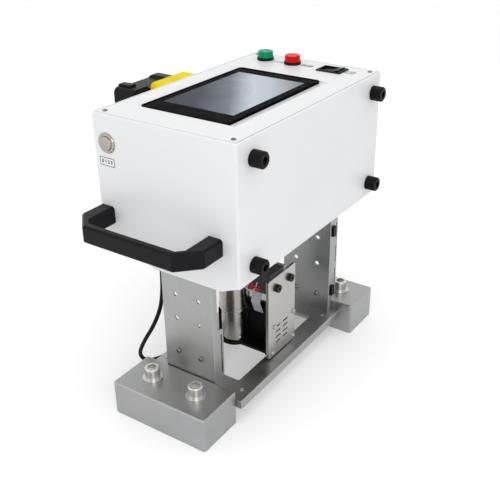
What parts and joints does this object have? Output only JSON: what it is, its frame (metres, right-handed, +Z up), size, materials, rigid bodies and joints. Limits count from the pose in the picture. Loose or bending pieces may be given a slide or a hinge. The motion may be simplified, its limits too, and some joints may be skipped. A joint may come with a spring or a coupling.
{
  "type": "nameplate marking machine",
  "caption": "Bench nameplate marking machine: white box head with sunken touch screen, push buttons and handle on a channel-leg stand, with a two-axis dot marking unit below.",
  "frame": {"origin": "bottom centre of the machine's bounding box without its power lead", "axes": "+X to the operator's right, +Y away from the operator, +Z up"},
  "size_m": [0.396, 0.502, 0.4258],
  "materials": {
    "white_paint": "semi-gloss powder coat",
    "zinc": "zinc plated, satin",
    "screw_steel": "bright zinc",
    "stainless": "polished",
    "black_plastic": "satin moulded",
    "rubber": "matte",
    "dark_screw": "black oxide",
    "screen_black": "gloss",
    "display": "unlit display",
    "glass": "clear cover glass",
    "green": "gloss",
    "red": "gloss",
    "yellow": "satin moulded",
    "legend": "bare label plate",
    "aluminium": "machined",
    "motor_black": "satin",
    "board": "printed board",
    "ribbon": "flat cable"
  },
  "bodies": {
    "frame": {"head_shell": "white_paint", "lid": "white_paint", "base_frame": "zinc", "front_foot_block": "zinc", "rear_foot_block": "zinc", "front_leg": "zinc", "rear_leg": "zinc", "head_floor": "zinc", "foot_screws": "screw_steel", "foot_washers": "screw_steel", "leg_screws": "screw_steel", "handle_screws": "screw_steel", "lid_screws": "screw_steel", "y_rails": "screw_steel", "front_button_ring": "stainless", "carry_handle": "black_plastic", "button_collars": "black_plastic", "panel_nuts": "black_plastic", "switch_frame": "black_plastic", "cable_glands": "black_plastic", "leg_clamps": "black_plastic", "bumpers": "rubber", "power_lead": "rubber", "power_lead_coil": "rubber", "power_plug": "rubber", "bumper_screws": "dark_screw", "screen_housing": "screen_black", "display_panel": "display", "cover_glass": "glass", "battery_dock": "yellow", "legend_plates": "legend", "y_screw_supports": "aluminium", "y_motor": "motor_black", "control_board": "board"},
    "bridge": {"bridge_beam": "aluminium", "x_rail": "screw_steel", "y_rail_blocks": "aluminium", "x_motor": "motor_black"},
    "carriage": {"x_slider": "aluminium", "carriage_plate": "aluminium", "clamp_ring": "aluminium", "unit_housing": "stainless", "unit_sleeve": "stainless", "unit_end_cap": "black_plastic", "arm_block": "black_plastic", "side_plate": "zinc", "plate_cap_screws": "dark_screw", "plate_screws": "screw_steel", "cradle_bracket": "black_plastic", "ribbon_cable": "ribbon", "pin_spring": "screw_steel"},
    "pin": {"marking_pin": "stainless"},
    "y_lead_screw": {"y_screw": "screw_steel"},
    "x_lead_screw": {"x_screw": "screw_steel"},
    "start_button": {"start_cap": "green"},
    "stop_button": {"stop_cap": "red"},
    "power_rocker": {"switch_rocker": "black_plastic"},
    "front_button": {"front_button_cap": "stainless"},
    "battery": {"battery_pack": "black_plastic"},
    "latch": {"battery_latch": "black_plastic"}
  },
  "joints": [
    {"name": "stage_y", "type": "slide", "parent": "frame", "child": "bridge", "axis": [0, 1, 0], "range_m": [-0.05, 0.045]},
    {"name": "stage_x", "type": "slide", "parent": "bridge", "child": "carriage", "axis": [1, 0, 0], "range_m": [-0.011, 0.033]},
    {"name": "y_screw_spin", "type": "hinge", "parent": "frame", "child": "y_lead_screw", "pos_m": [-0.05375, 0.03625, 0.247], "axis": [0, 1, 0], "range_deg": [-1810, 1630]},
    {"name": "x_screw_spin", "type": "hinge", "parent": "bridge", "child": "x_lead_screw", "pos_m": [0.02625, 0.00755, 0.289], "axis": [1, 0, 0], "range_deg": [-510, 1490]},
    {"name": "pin_strike", "type": "slide", "parent": "carriage", "child": "pin", "axis": [0, 0, 1], "range_m": [-0.004, 0], "stiffness_N_per_m": 400, "springref_m": 0.002, "deforming": ["pin_spring"]},
    {"name": "start_press", "type": "slide", "parent": "frame", "child": "start_button", "axis": [0, 0, 1], "range_m": [-0.002, 0], "stiffness_N_per_m": 600, "springref_m": 0.001},
    {"name": "stop_press", "type": "slide", "parent": "frame", "child": "stop_button", "axis": [0, 0, 1], "range_m": [-0.002, 0], "stiffness_N_per_m": 600, "springref_m": 0.001},
    {"name": "front_press", "type": "slide", "parent": "frame", "child": "front_button", "axis": [0, 1, 0], "range_m": [0, 0.0015], "stiffness_N_per_m": 600, "springref_m": -0.001},
    {"name": "power_rock", "type": "hinge", "parent": "frame", "child": "power_rocker", "pos_m": [0.07525, 0.19325, 0.4106], "axis": [0, 1, 0], "range_deg": [0, 20]},
    {"name": "battery_slide", "type": "slide", "parent": "frame", "child": "battery", "axis": [0, -1, 0], "range_m": [0, 0.075]},
    {"name": "latch_press", "type": "slide", "parent": "battery", "child": "latch", "axis": [0, 0, 1], "range_m": [-0.003, 0], "stiffness_N_per_m": 500, "springref_m": 0.001}
  ],
  "couplings": [
    {"joint": "y_screw_spin", "follows": "stage_y", "rad_per_m": 628.32},
    {"joint": "x_screw_spin", "follows": "stage_x", "rad_per_m": 785.4}
  ]
}
